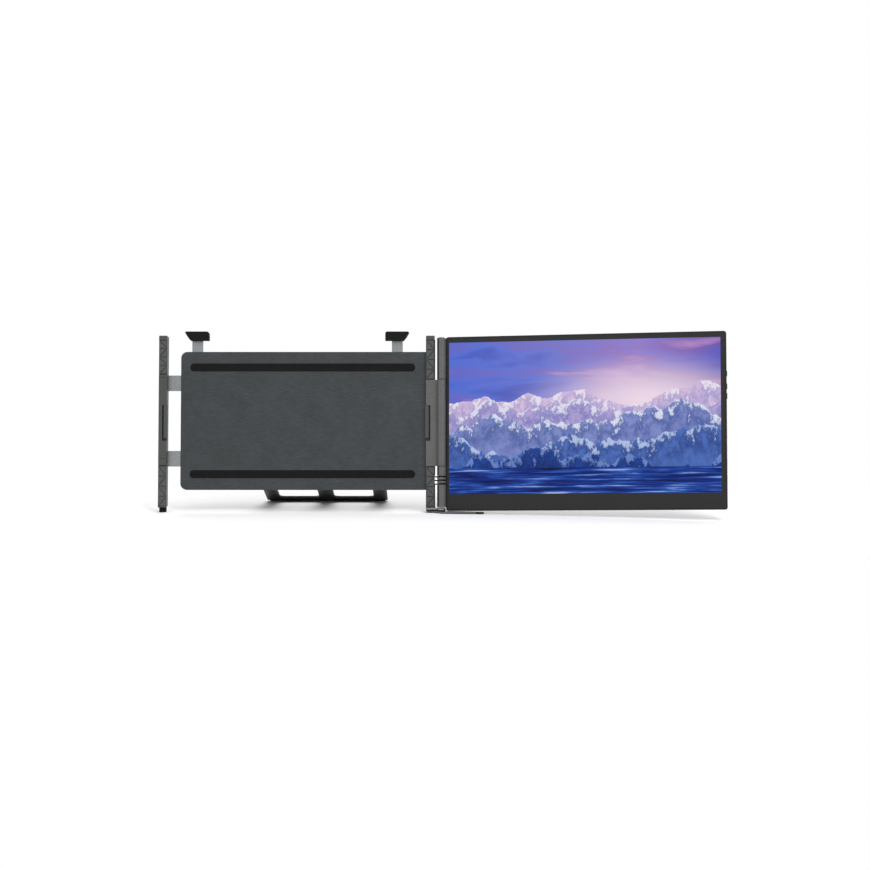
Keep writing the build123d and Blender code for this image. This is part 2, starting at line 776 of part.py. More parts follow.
with BuildPart() as rear_cover:
    screen_outline(0, (screen_front + 0.2, side_back))
    fillet(faces().sort_by(Axis.Y)[0].edges(), edge_round)
    tapered_back((side_back, screen_back), 0, back_bevel, side_bevel, screen_corner)
    screen_outline(wall, (screen_front, side_back), mode=Mode.SUBTRACT)
    tapered_back((side_back, inside_back), wall, wall + 3.0, wall + 0.3, screen_corner - 1,
                 mode=Mode.SUBTRACT)
    for centre in cover_screws:
        rod(centre, post_radius, (post_front, inside_back + 0.1))
    for centre in leaf_screws:
        rod(centre, post_radius, (leaf_span_y[1], inside_back + 0.1))
    for centre in cover_screws + leaf_screws:
        rod(centre, screw_radius, (post_front, screen_back), mode=Mode.SUBTRACT)
        rod(centre, screw_head, (screen_back - head_depth, screen_back), mode=Mode.SUBTRACT)
    for z_span in (lower_span, upper_span):
        slab((screen_left - 1, screen_left + wall + 1), (z_span[0] + 4 - 0.1, z_span[1] - 4 + 0.1),
             (leaf_span_y[0] - 0.1, leaf_span_y[1]), mode=Mode.SUBTRACT)
    outer_wall = (screen_right - wall - 1, screen_right + 1)
    for height in usb_heights:
        edge_slot(outer_wall, port_middle, height, usb_size, mode=Mode.SUBTRACT)
    edge_slot(outer_wall, port_middle, hdmi_height, hdmi_size, mode=Mode.SUBTRACT)
    for height in button_heights.values():
        edge_slot(outer_wall, button_middle, height,
                  (button_size[0] + 2 * clearance, button_size[1] + 2 * clearance), mode=Mode.SUBTRACT)
    for speaker_left in speaker_lefts:
        for row in range(grille_rows):
            slot_left = speaker_left + 7.0 + row * grille_pitch
            slab((slot_left, slot_left + 1.6), (speaker_low + 2.5, speaker_low + speaker_height - 2.0),
                 (inside_back - 1, screen_back + 1), mode=Mode.SUBTRACT)
write(rear_cover, "rear_cover", screen_pose)

with BuildPart() as display_glass:
    panel_layer(0, (glass_front, glass_back))
write(display_glass, "display_glass", screen_pose)

sheet_inset = 0.8
sheet_skirt = panel_skirt - 2.6

with BuildPart() as diffuser:
    panel_layer(sheet_inset, (glass_back, diffuser_back), sheet_skirt)
write(diffuser, "diffuser", screen_pose)

with BuildPart() as light_guide:
    panel_layer(sheet_inset, (diffuser_back, guide_back), sheet_skirt)
write(light_guide, "light_guide", screen_pose)

standoffs = [(board_left + 5, board_low + 5), (board_left + 5, board_high - 5),
             (board_right - 14, board_low + 5), (board_right - 14, board_high - 3)]

with BuildPart() as back_tray:
    panel_layer(0, (glass_back, tray_back))
    panel_layer(0.5, (glass_back, guide_back), mode=Mode.SUBTRACT)
    for centre in standoffs:
        rod(centre, 2.0, (tray_back, board_front))
write(back_tray, "back_tray", screen_pose)

with BuildPart() as led_strip:
    strip_low = active_low - panel_margin - panel_skirt + sheet_inset
    slab((active_left, active_left + active_width), (strip_low, strip_low + 2.2),
         (guide_back - 1.2, guide_back))
write(led_strip, "led_strip", screen_pose)

with BuildPart() as main_board:
    slab((board_left, board_right), (board_low, board_high), (board_front, board_back), corner=2)
    notch_span_x = (screen_right - wall - port_depth, board_right + 1)
    sockets = [(height, usb_size[0]) for height in usb_heights] + [(hdmi_height, hdmi_size[0])]
    for height, length in sockets:
        slab(notch_span_x, around(height, length / 2 + clearance), (board_front, board_back),
             mode=Mode.SUBTRACT)
write(main_board, "main_board", screen_pose)

with BuildPart() as board_chips:
    for across, up, size in ((20, 26, 14), (40, 50, 9), (42, 18, 6), (14, 50, 7)):
        slab(around(board_left + across, size / 2), around(board_low + up, size / 2),
             (board_back, board_back + chip_height))
write(board_chips, "board_chips", screen_pose)


def port_shell(height, size):
    """Metal shell of a socket with its mouth at the outer edge and a tongue inside."""
    start = screen_right - wall - port_depth + 0.4
    end = screen_right - 0.3
    edge_slot((start, end), port_middle, height, (size[0] - 0.1, size[1] - 0.1))
    edge_slot((start + 1, end), port_middle, height, (size[0] - 0.7, size[1] - 0.7), mode=Mode.SUBTRACT)
    edge_slot((start + 0.5, end - 1), port_middle, height, (size[0] - 3.0, 0.7))


with BuildPart() as usb_c_ports:
    for height in usb_heights:
        port_shell(height, usb_size)
write(usb_c_ports, "usb_c_ports", screen_pose)

with BuildPart() as mini_hdmi_port:
    port_shell(hdmi_height, hdmi_size)
write(mini_hdmi_port, "mini_hdmi_port", screen_pose)

with BuildPart() as speakers:
    for speaker_left in speaker_lefts:
        slab((speaker_left, speaker_left + speaker_length), (speaker_low, speaker_low + speaker_height),
             (tray_back, inside_back), corner=2)
write(speakers, "speakers", screen_pose)

with BuildPart() as flex_cable:
    slab((board_left - flex_reach, board_left + flex_overlap), (flex_low, flex_low + flex_width),
         (tray_back, tray_back + 0.3))
write(flex_cable, "flex_cable", screen_pose)

with BuildPart() as screen_screws:
    for centre in leaf_screws:
        rod(centre, screw_radius, (leaf_span_y[0], screen_back - head_depth))
    for centre in cover_screws:
        rod(centre, screw_radius, (glass_front + 0.6, screen_back - head_depth))
    for centre in leaf_screws + cover_screws:
        rod(centre, screw_head - 0.1, (screen_back - head_depth, screen_back - 0.1))
write(screen_screws, "screen_screws", screen_pose)


# Buttons and the board behind them

flange_end = screen_right - wall - clearance
flange_start = flange_end - 0.8
switch_top = flange_start - 0.8
button_board_x = switch_top - 2.2

with BuildPart() as button_board:
    slab((button_board_x, button_board_x + 0.8),
         (button_heights["minus"] - 11, button_heights["power"] + 11), around(button_middle + 0.4, 1.4))
    for height in button_heights.values():
        edge_slot((button_board_x + 0.8, switch_top), button_middle, height, (3.0, 2.0))
write(button_board, "button_board", screen_pose)

for name, height in button_heights.items():
    with BuildPart() as button:
        edge_slot((flange_start, flange_end), button_middle, height,
                  (button_size[0] + 1.6, button_size[1] + 0.4))
        edge_slot((flange_end, screen_right + button_proud), button_middle, height, button_size)
    write(button, f"{name}_button", screen_pose)
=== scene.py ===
from math import cos, pi, radians, sin

import bmesh
import bpy
from mathutils import Matrix, Vector


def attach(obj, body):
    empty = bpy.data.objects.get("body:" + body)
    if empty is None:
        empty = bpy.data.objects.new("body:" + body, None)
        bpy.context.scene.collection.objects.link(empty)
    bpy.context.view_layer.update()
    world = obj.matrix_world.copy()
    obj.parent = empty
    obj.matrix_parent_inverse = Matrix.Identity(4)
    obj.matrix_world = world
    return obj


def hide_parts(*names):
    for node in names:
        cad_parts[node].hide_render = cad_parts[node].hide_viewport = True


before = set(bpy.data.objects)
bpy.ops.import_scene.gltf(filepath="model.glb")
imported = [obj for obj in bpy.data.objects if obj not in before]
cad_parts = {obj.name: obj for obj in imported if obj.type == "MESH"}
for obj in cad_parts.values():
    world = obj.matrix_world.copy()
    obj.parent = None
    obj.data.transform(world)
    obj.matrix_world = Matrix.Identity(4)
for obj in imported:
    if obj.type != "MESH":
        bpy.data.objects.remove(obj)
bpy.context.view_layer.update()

# The frame is in metres, and its origin is where the hinge axis of the screen meets the table. The
# bracket leans back, and the screen is swung toward the viewer.
mm = 0.001
lean = radians(9)
swing = radians(12)
bracket_pose = Matrix.Rotation(-lean, 4, "X")
screen_pose = bracket_pose @ Matrix.Rotation(-swing, 4, "Z")


# Helpers for colours and nodes

def linear(code):
    """Linear colour of an sRGB hex code."""
    channels = [int(code[i:i + 2], 16) / 255 for i in (1, 3, 5)]
    return [c / 12.92 if c <= 0.04045 else ((c + 0.055) / 1.055) ** 2.4 for c in channels] + [1.0]


def add(tree, kind, links=None, stops=(), **settings):
    """Adds a node: links name the inputs that sockets feed, settings name its properties or inputs.

    Stops are the places and hex colours along a colour ramp.
    """
    made = tree.nodes.new(kind)
    for name, value in settings.items():
        if hasattr(made, name):
            setattr(made, name, value)
        else:
            made.inputs[name.replace("_", " ")].default_value = value
    for name, source in (links or {}).items():
        tree.links.new(source, made.inputs[name])
    for index, (position, code) in enumerate(stops):
        if index >= len(made.color_ramp.elements):
            made.color_ramp.elements.new(position)
        made.color_ramp.elements[index].position = position
        made.color_ramp.elements[index].color = linear(code)
    return made


def empty_material(name):
    """Node material with nothing in it yet."""
    material = bpy.data.materials.new(name)
    material.use_nodes = True
    material.node_tree.nodes.clear()
    return material


def start_material(name):
    """Material with a principled shader and its output."""
    material = empty_material(name)
    tree = material.node_tree
    shader = add(tree, "ShaderNodeBsdfPrincipled")
    add(tree, "ShaderNodeOutputMaterial", {"Surface": shader.outputs["BSDF"]})
    return material, tree, shader


# What all solid finishes have in common: the size of the marks that hands leave, their share beside
# the grain, how far gloss varies, and between which values the noise moves colour and gloss
handling_marks = 25 * mm
handling_share = 0.3
gloss_spread = 0.07
colour_noise = (0.36, 0.64)
gloss_noise = (0.3, 0.7)

# Cosine of the turn between a flat face and its rounded edge, where rubbing starts and where it is full
rubbing_starts = 0.99
rubbing_full = 0.8


def surface(name, dark, light, grain, roughness, metallic=0.0, relief=0.02, stretch=(1, 1, 1),
            specular=0.5, rubbed=None, edge=0.5):
    """Solid surface: fine grain in colour, gloss and relief, faint marks of handling, rubbed edges.

    Grain, relief and edge are in millimetres.
    """
    material, tree, shader = start_material(name)
    place = add(tree, "ShaderNodeTexCoord").outputs["Object"]
    stretched = add(tree, "ShaderNodeMapping", {"Vector": place}, Scale=stretch).outputs["Vector"]
    fine = add(tree, "ShaderNodeTexNoise", {"Vector": stretched}, Scale=1 / (grain * mm), Detail=3.0)
    broad = add(tree, "ShaderNodeTexNoise", {"Vector": place}, Scale=1 / handling_marks, Detail=4.0)
    mottle = add(tree, "ShaderNodeMix", {"A": fine.outputs["Fac"], "B": broad.outputs["Fac"]},
                 data_type="FLOAT", Factor=handling_share).outputs["Result"]
    colour = add(tree, "ShaderNodeValToRGB", {"Fac": mottle},
                 stops=zip(colour_noise, (dark, light))).outputs["Color"]
    rounded = add(tree, "ShaderNodeBevel", samples=4, Radius=edge * mm).outputs["Normal"]
    if rubbed:
        flat = add(tree, "ShaderNodeNewGeometry").outputs["Normal"]
        turn = add(tree, "ShaderNodeVectorMath", {0: rounded, 1: flat}, operation="DOT_PRODUCT")
        wear = add(tree, "ShaderNodeMapRange", {"Value": turn.outputs["Value"]},
                   From_Min=rubbing_starts, From_Max=rubbing_full)
        patchy = add(tree, "ShaderNodeMath", {0: wear.outputs["Result"], 1: broad.outputs["Fac"]},
                     operation="MULTIPLY")
        colour = add(tree, "ShaderNodeMixRGB", {"Fac": patchy.outputs["Value"], "Color1": colour},
                     Color2=linear(rubbed)).outputs["Color"]
    tree.links.new(colour, shader.inputs["Base Color"])
    gloss = add(tree, "ShaderNodeMapRange", {"Value": mottle}, From_Min=gloss_noise[0],
                From_Max=gloss_noise[1], To_Min=roughness - gloss_spread, To_Max=roughness + gloss_spread)
    tree.links.new(gloss.outputs["Result"], shader.inputs["Roughness"])
    bumps = add(tree, "ShaderNodeBump", {"Height": fine.outputs["Fac"], "Normal": rounded},
                Strength=1.0, Distance=relief * mm)
    tree.links.new(bumps.outputs["Normal"], shader.inputs["Normal"])
    shader.inputs["Metallic"].default_value = metallic
    shader.inputs["Specular IOR Level"].default_value = specular
    return material


def shade_grooves(material, face, floor, painted_shade, share):
    """Paints shade into a bracket finish: darker from its raised face down to the floor of its grooves."""
    tree = material.node_tree
    shader = tree.nodes["Principled BSDF"]
    plain = shader.inputs["Base Color"].links[0].from_socket
    place = add(tree, "ShaderNodeTexCoord").outputs["Object"]
    upright = add(tree, "ShaderNodeMapping", {"Vector": place}, Rotation=(lean, 0, 0)).outputs["Vector"]
    depth = add(tree, "ShaderNodeSeparateXYZ", {"Vector": upright}).outputs["Y"]
    sunk = add(tree, "ShaderNodeMapRange", {"Value": depth}, From_Min=face, From_Max=floor, To_Max=share)
    # Painted shade: the deeper into a groove, the closer its colour comes to the shade colour.
    shaded = add(tree, "ShaderNodeMixRGB", {"Fac": sunk.outputs["Result"], "Color1": plain},
                 Color2=linear(painted_shade))
    tree.links.new(shaded.outputs["Color"], shader.inputs["Base Color"])


def darken_tip(material, tip, reach, edge, end_colour):
    """Makes the end of the swing foot dark and not metallic, out to a given distance from its tip, with a soft
    border.
    """
    tree = material.node_tree
    shader = tree.nodes["Principled BSDF"]
    plain = shader.inputs["Base Color"].links[0].from_socket
    place = add(tree, "ShaderNodeTexCoord").outputs["Object"]
    away = add(tree, "ShaderNodeVectorMath", {0: place}, operation="DISTANCE")
    away.inputs[1].default_value = tip
    away_from_end = add(tree, "ShaderNodeMapRange", {"Value": away.outputs["Value"]}, From_Min=reach - edge,
               From_Max=reach + edge).outputs["Result"]
    darkened_end = add(tree, "ShaderNodeMixRGB", {"Fac": away_from_end, "Color2": plain}, Color1=linear(end_colour))
    tree.links.new(darkened_end.outputs["Color"], shader.inputs["Base Color"])
    tree.links.new(away_from_end, shader.inputs["Metallic"])


# Finishes of the bracket. The real grain of blasted, rolled or brushed metal and of moulded plastic is
# 0.1 to 0.3 mm. Here and on the screen it is drawn at 0.5 to 1 mm, as coarse as it needs to show.

# Anodised aluminium, extruded and bead blasted: dull dark grey with a fine even sparkle and
# paler metal where corners rub.
rail_aluminium = surface("anodised_aluminium_blasted", "#3c3e3d", "#4a4c4b", 0.7, 0.48, metallic=1.0,
                         relief=0.03, rubbed="#737575")

# Anodised aluminium sheet with a rolled grain: faint streaks along the length of the sheet.
sheet_aluminium = surface("anodised_aluminium_rolled", "#3f4243", "#4b4e50", 0.6, 0.42, metallic=1.0,
                          relief=0.02, stretch=(0.08, 1, 1), rubbed="#7d8081")

# Anodised aluminium in its natural colour, stamped and tumbled: pale satin grey, soft edges.
plate_aluminium = surface("anodised_aluminium_natural", "#878988", "#959796", 0.6, 0.4, metallic=1.0,
                          relief=0.02, rubbed="#b4b6b6")

# Anodised aluminium, a shade darker on the swing foot: a satin lever whose end is coloured dull black
# and is not metallic.
foot_tip = (50.6 * mm, -8.0 * mm, 1.6 * mm)
dark_end_length = 7.5 * mm
dark_end_border = 0.2 * mm
foot_aluminium = surface("anodised_aluminium_dark_end", "#626463", "#707271", 0.6, 0.42, metallic=1.0,
                         relief=0.02, rubbed="#9a9c9c")
darken_tip(foot_aluminium, foot_tip, dark_end_length, dark_end_border, "#0e0e0e")

# Zinc, die cast and painted satin grey: slight orange peel and a soft highlight along the barrel.
painted_zinc = surface("painted_zinc", "#525351", "#5c5d5b", 1.6, 0.36, relief=0.015, specular=0.4,
                       rubbed="#83837f")

# ABS moulded against a spark-eroded tool: satin grey with an even grain.
grey_abs = surface("moulded_grey_ABS", "#3d3f3d", "#474947", 0.8, 0.5, relief=0.03, specular=0.35,
                   rubbed="#6f716f")

# The same plastic on the faceted face plates: the raised triangles catch the light, and painted shade keeps
# the grooves dark.
facet_face = 2.5 * mm
facet_floor = 3.2 * mm
groove_painted_shade_share = 0.55
faceted_abs = surface("moulded_faceted_ABS", "#3e403f", "#4f5150", 0.8, 0.46, relief=0.03, specular=0.4,
                      rubbed="#858785", edge=0.35)
# Painted shade in the grooves, darkest at their floor.
shade_grooves(faceted_abs, facet_face, facet_floor, "#141414", groove_painted_shade_share)

# The same plastic in black on hooks, buttons, speakers and chips: dull, with corners polished by use.
black_abs = surface("moulded_black_ABS", "#080807", "#10100e", 0.8, 0.6, relief=0.03, specular=0.14,
                    rubbed="#252523")

# Nylon, moulded and left as it comes from the tool: flat black, no shine, no wear inside the hinge.
# On the knuckle covers this flat black is painted shade, standing for the shadow on the flank of the barrels;
# the washers are plain black nylon.
black_nylon_and_painted_shade = surface("moulded_black_nylon_and_painted_shade", "#040404", "#0a0a0a", 0.8, 0.75, relief=0.02, specular=0.06)

# Rubber, moulded or extruded: matt black, slightly greyed by dust.
black_rubber = surface("pressed_black_rubber", "#0a0a0a", "#161616", 1.0, 0.8, relief=0.05, specular=0.15)

# Stainless steel, ground and brushed: clean bright metal with upright hairlines.
brushed_steel = surface("brushed_stainless_steel", "#84878a", "#989b9d", 0.5, 0.32, metallic=1.0,
                        relief=0.01, stretch=(1, 1, 0.06))

# Steel of the hinge leaves, nearly black with a dull sheen: mostly painted shade, for the shadow in the slits
# that the leaves cross.
steel_painted_shade = surface("steel_darkened_as_painted_shade", "#1c1c1c", "#262626", 0.5, 0.42, metallic=1.0, relief=0.01,
                      rubbed="#4a4a4a")

# Finishes of the screen

# ABS of the bezel, moulded with a fine matt grain: even charcoal, no hot spots.
bezel_abs = surface("moulded_bezel_ABS", "#262626", "#2b2b2a", 0.7, 0.56, relief=0.02, specular=0.16,
                    rubbed="#3c3c3b")

# ABS of the rear housing, moulded with a leathery grain that scatters the light.
housing_abs = surface("moulded_housing_ABS", "#151616", "#1d1e1e", 0.9, 0.5, relief=0.06, specular=0.25,
                      rubbed="#343535")

# Acrylic sheet, cast and polished, as bright as the light that it spreads: nearly white and flawless.
cast_acrylic = surface("cast_acrylic", "#dfe3e8", "#edf0f4", 2.0, 0.15, relief=0.002)

# Fibreglass board under a solder mask: deep green with faint copper relief below it.
solder_mask = surface("solder_mask_on_fibreglass", "#0b3a24", "#124a30", 1.2, 0.35, relief=0.03)


# Lit picture: a clouded sky with a low glow over rows of mountain ridges and a lake, as a generic
# desktop picture. Its places, heights and reaches are shares of its width and height.

picture_width = 344.2 * mm
picture_height = 193.6 * mm
picture_left = 9.7 * mm
picture_low = 24.0 * mm
picture_brightness = 0.92

# Clouds lie in flat bands, and the sky's own colour changes from left to right behind them
cloud_bands = (1.1, 1, 3.4)
cloud_colours = (
    (0.32, "#3f4aa8"),
    (0.44, "#5a72d4"),
    (0.54, "#7a66b4"),
    (0.66, "#c69cd0"),
    (0.78, "#a4c4f0"),
)
sky_colours = ((0.0, "#4a6ee0"), (0.4, "#8f8fe0"), (0.7, "#c79bdc"), (1.0, "#6a3fa8"))
sky_share = 0.4

glow_place = (0.74, 0.0, 0.6)
glow_squeeze = (0.8, 0.0, 1.2)
glow_reach = 0.42
glow_share = 0.95
glow_colour = "#f8e2ee"

# Ridges from far to near: height of their lowest dip, relief, peaks across the picture, shift along
# the skyline, and the colours of rock, mist and snow
ridge_rows = (
    (0.50, 0.22, 1.9, 3.1, "#8288cc", "#dcc2e2", "#efe4f4"),
    (0.42, 0.30, 2.3, 41.2, "#5a68b4", "#b9aadb", "#e4e2f4"),
    (0.30, 0.34, 2.0, 27.9, "#2a4592", "#8390cc", "#dde4f6"),
    (0.22, 0.26, 2.9, 18.9, "#142d74", "#5070bc", "#b4c6ea"),
    (0.12, 0.22, 3.6, 60.4, "#071344", "#20459a", "#6a88cc"),
)
skyline_softness = 0.002
crags_across = 11.0
crag_stretch = (2.4, 1, 0.9)
crag_slant = (0, 0.5, 0)

# Snow covers most of a peak and thins out down to the depth that it reaches; mist thickens below
snow_reach = 0.16
snow_at_peak = 0.62
snow_at_reach = 0.4
snow_border = (0.07, 0.13)
mist_top = 0.02
mist_full = 0.24
mist_share = 0.75

lake_level = 0.17
shore_softness = 0.004
ripple_bands = (1.6, 1, 22.0)
water_colours = ((0.34, "#050f36"), (0.48, "#0f2c82"), (0.58, "#2f5ab4"), (0.7, "#a9c0ee"))


def sky(tree, area, across):
    """Clouded sky over the ridges with a warm pale glow low on one side."""
    bands = add(tree, "ShaderNodeMapping", {"Vector": area}, Scale=cloud_bands).outputs["Vector"]
    cloud = add(tree, "ShaderNodeTexNoise", {"Vector": bands}, Scale=2.1, Detail=6.0, Roughness=0.5,
                Distortion=0.5).outputs["Fac"]
    clouds = add(tree, "ShaderNodeValToRGB", {"Fac": cloud}, stops=cloud_colours).outputs["Color"]
    behind = add(tree, "ShaderNodeValToRGB", {"Fac": across}, stops=sky_colours).outputs["Color"]
    mixed = add(tree, "ShaderNodeMixRGB", {"Color1": clouds, "Color2": behind},
                Fac=sky_share).outputs["Color"]
    offset = add(tree, "ShaderNodeVectorMath", {0: area}, operation="SUBTRACT")
    offset.inputs[1].default_value = glow_place
    squeezed = add(tree, "ShaderNodeVectorMath", {0: offset.outputs["Vector"]}, operation="MULTIPLY")
    squeezed.inputs[1].default_value = glow_squeeze
    distance = add(tree, "ShaderNodeVectorMath", {0: squeezed.outputs["Vector"]}, operation="LENGTH")
    glow = add(tree, "ShaderNodeMapRange", {"Value": distance.outputs["Value"]}, From_Max=glow_reach,
               To_Min=glow_share, To_Max=0.0, interpolation_type="SMOOTHSTEP")
    return add(tree, "ShaderNodeMixRGB", {"Fac": glow.outputs["Result"], "Color1": mixed},
               Color2=linear(glow_colour)).outputs["Color"]


def ridge(tree, behind, area, across, up, row):
    """One row of peaks in front of what lies behind it: rock and snow on top, mist lower down."""
    dip, relief, peaks, shift, rock, mist, snow = row
    along = add(tree, "ShaderNodeMath", {0: across}, operation="ADD")
    along.inputs[1].default_value = shift
    skyline = add(tree, "ShaderNodeTexNoise", {"W": along.outputs["Value"]}, noise_dimensions="1D",
                  Scale=peaks, Detail=8.0, Roughness=0.5)
    height = add(tree, "ShaderNodeMapRange", {"Value": skyline.outputs["Fac"]}, From_Min=0.3, From_Max=0.7,
                 To_Min=dip, To_Max=dip + relief)
    below = add(tree, "ShaderNodeMath", {0: height.outputs["Result"], 1: up},
                operation="SUBTRACT").outputs["Value"]
    slopes = add(tree, "ShaderNodeMapping", {"Vector": area}, Location=(shift, 0, 0), Scale=crag_stretch,
                 Rotation=crag_slant).outputs["Vector"]
    crags = add(tree, "ShaderNodeTexNoise", {"Vector": slopes}, Scale=crags_across, Detail=12.0, Roughness=0.7,
                Distortion=0.1).outputs["Fac"]
    face = add(tree, "ShaderNodeValToRGB", {"Fac": crags}, stops=((0.42, rock), (0.6, mist))).outputs["Color"]
    snowline = add(tree, "ShaderNodeMapRange", {"Value": below}, From_Max=snow_reach, To_Min=snow_at_peak,
                   To_Max=snow_at_reach)
    drifts = add(tree, "ShaderNodeMath", {0: snowline.outputs["Result"], 1: crags}, operation="SUBTRACT")
    cover = add(tree, "ShaderNodeMapRange", {"Value": drifts.outputs["Value"]}, From_Min=snow_border[0],
                From_Max=snow_border[1])
    capped = add(tree, "ShaderNodeMixRGB", {"Fac": cover.outputs["Result"], "Color1": face},
                 Color2=linear(snow)).outputs["Color"]
    fade = add(tree, "ShaderNodeMapRange", {"Value": below}, From_Min=mist_top, From_Max=mist_full,
               To_Max=mist_share)
    misted = add(tree, "ShaderNodeMixRGB", {"Fac": fade.outputs["Result"], "Color1": capped},
                 Color2=linear(mist)).outputs["Color"]
    inside = add(tree, "ShaderNodeMapRange", {"Value": below}, From_Min=-skyline_softness,
                 From_Max=skyline_softness)
    return add(tree, "ShaderNodeMixRGB", {"Fac": inside.outputs["Result"], "Color1": behind,
                                          "Color2": misted}).outputs["Color"]


def lake(tree, behind, area, up):
    """Still water in front of the ridges, with long ripples that hold the light of the sky."""
    ripples = add(tree, "ShaderNodeMapping", {"Vector": area}, Scale=ripple_bands).outputs["Vector"]
    light = add(tree, "ShaderNodeTexNoise", {"Vector": ripples}, Scale=2.6, Detail=6.0, Roughness=0.6,
                Distortion=0.3).outputs["Fac"]
    water = add(tree, "ShaderNodeValToRGB", {"Fac": light}, stops=water_colours).outputs["Color"]
    shore = add(tree, "ShaderNodeMapRange", {"Value": up}, From_Min=lake_level + shore_softness,
                From_Max=lake_level - shore_softness)
    return add(tree, "ShaderNodeMixRGB", {"Fac": shore.outputs["Result"], "Color1": behind,
                                          "Color2": water}).outputs["Color"]


# Display glass, etched: the lit picture shows through a dull dark surface with hardly a reflection.
# The real etching is far too fine to show and is drawn at half a millimetre.
etch_grain = 0.5 * mm
etch_colours = ((0.3, "#050609"), (0.7, "#08090d"))
etch_roughness = (0.24, 0.36)
coated_reflection = 0.08


def lit_display():
    """Etched display glass: its anti-reflective coat keeps the blacks deep over the lit picture."""
    material, tree, shader = start_material("etched_display_glass")
    place = add(tree, "ShaderNodeTexCoord").outputs["Object"]
    upright = add(tree, "ShaderNodeMapping", {"Vector": place}, Rotation=(lean, 0, swing)).outputs["Vector"]
    area = add(tree, "ShaderNodeMapping", {"Vector": upright},
               Location=(-picture_left / picture_width, 0, -picture_low / picture_height),
               Scale=(1 / picture_width, 1, 1 / picture_height)).outputs["Vector"]
    axes = add(tree, "ShaderNodeSeparateXYZ", {"Vector": area})
    across = axes.outputs["X"]
    up = axes.outputs["Z"]
    picture = sky(tree, area, across)
    for row in ridge_rows:
        picture = ridge(tree, picture, area, across, up, row)
    picture = lake(tree, picture, area, up)
    tree.links.new(picture, shader.inputs["Emission Color"])
    shader.inputs["Emission Strength"].default_value = picture_brightness
    shader.inputs["Specular IOR Level"].default_value = coated_reflection
    etch = add(tree, "ShaderNodeTexNoise", {"Vector": place}, Scale=1 / etch_grain, Detail=2.0)
    dark = add(tree, "ShaderNodeValToRGB", {"Fac": etch.outputs["Fac"]}, stops=etch_colours)
    tree.links.new(dark.outputs["Color"], shader.inputs["Base Color"])
    rough = add(tree, "ShaderNodeMapRange", {"Value": etch.outputs["Fac"]}, To_Min=etch_roughness[0],
                To_Max=etch_roughness[1])
    tree.links.new(rough.outputs["Result"], shader.inputs["Roughness"])
    return material


display = lit_display()

finishes = {
    rail_aluminium: ["right_rail", "left_rail"],
    sheet_aluminium: ["bay_panel", "stand_flap"],
    plate_aluminium: ["base_plate"],
    foot_aluminium: ["swing_foot"],
    painted_zinc: ["hinge_bridge", "upper_knuckle", "lower_knuckle"],
    faceted_abs: ["right_upper_trim", "right_lower_trim", "left_upper_trim", "left_lower_trim"],
    grey_abs: ["left_middle_cover", "right_cap", "left_cap", "left_clip", "right_clip"],
    black_abs: ["left_hook", "right_hook", "speakers", "board_chips", "power_button", "plus_button",
                "minus_button"],
    # Painted shade: the flat black covers stand for the shadow along the flank of the knuckles.
    black_nylon_and_painted_shade: ["knuckle_covers"],
    housing_abs: ["rear_cover", "rear_shell"],
    bezel_abs: ["front_bezel"],
    black_rubber: ["base_pad", "bay_pads", "left_rail_foot", "left_clip_pad", "right_clip_pad",
                   "left_hook_pad", "right_hook_pad", "stand_strip", "swing_foot_sole"],
    # Painted shade: the dark hinge leaves stand for the shadow in their slits.
    steel_painted_shade: ["hinge_fingers"],
    brushed_steel: ["hinge_pin", "stand_pins", "bracket_screws", "foot_pivot", "slide_arms",
                    "left_hook_stem", "right_hook_stem", "back_tray", "usb_c_ports", "mini_hdmi_port",
                    "screen_screws"],
    display: ["display_glass"],
    cast_acrylic: ["diffuser", "light_guide"],
    solder_mask: ["main_board", "button_board", "led_strip", "flex_cable"],
}
for material, names in finishes.items():
    for name in names:
        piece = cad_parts[name]
        piece.data.materials.clear()
        piece.data.materials.append(material)


# Small trim and fasteners

def add_piece(name, mesh, material, body, replaced=None):
    """Puts a finished mesh into the scene and tells the frame what it is part of."""
    piece = bpy.data.objects.new(name, mesh)
    bpy.context.scene.collection.objects.link(piece)
    mesh.materials.clear()
    mesh.materials.append(material)
    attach(piece, body)
    if replaced:
        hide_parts(replaced)


def prism(shape, outline, low, high):
    """Adds an upright prism over a closed outline in X and Y to a mesh being built."""
    rims = [[shape.verts.new((x, y, z)) for x, y in outline] for z in (low, high)]
    shape.faces.new(reversed(rims[0]))
    shape.faces.new(rims[1])
    count = len(outline)
    for index in range(count):
        after = (index + 1) % count
        shape.faces.new((rims[0][index], rims[0][after], rims[1][after], rims[1][index]))


def arc(centre, radius, start, end, steps):
    """Points along an arc, its angles in degrees."""
    angles = [radians(start + (end - start) * step / steps) for step in range(steps + 1)]
    return [(centre[0] + radius * cos(angle), centre[1] + radius * sin(angle)) for angle in angles]


def finish_mesh(shape, name, pose):
    """Turns the built shape into a mesh in its pose."""
    mesh = bpy.data.meshes.new(name)
    bmesh.ops.recalc_face_normals(shape, faces=shape.faces)
    shape.to_mesh(mesh)
    shape.free()
    mesh.transform(pose)
    return mesh


# Rubber bead along the edge of the screen, between its two knuckles. It closes the slit beside the
# barrel of the bridge and keeps clear of it as the screen swings.
bead_centre = (5.72 * mm, 3.4 * mm)
bead_radius = 1.0 * mm
bead_steps = 12
lower_knuckle_top = 59.2 * mm
upper_knuckle_low = 171.2 * mm

bead = bmesh.new()
prism(bead, arc(bead_centre, bead_radius, 90, 270, bead_steps), lower_knuckle_top, upper_knuckle_low)
add_piece("edge_bead", finish_mesh(bead, "edge_bead", screen_pose), black_rubber, "screen")

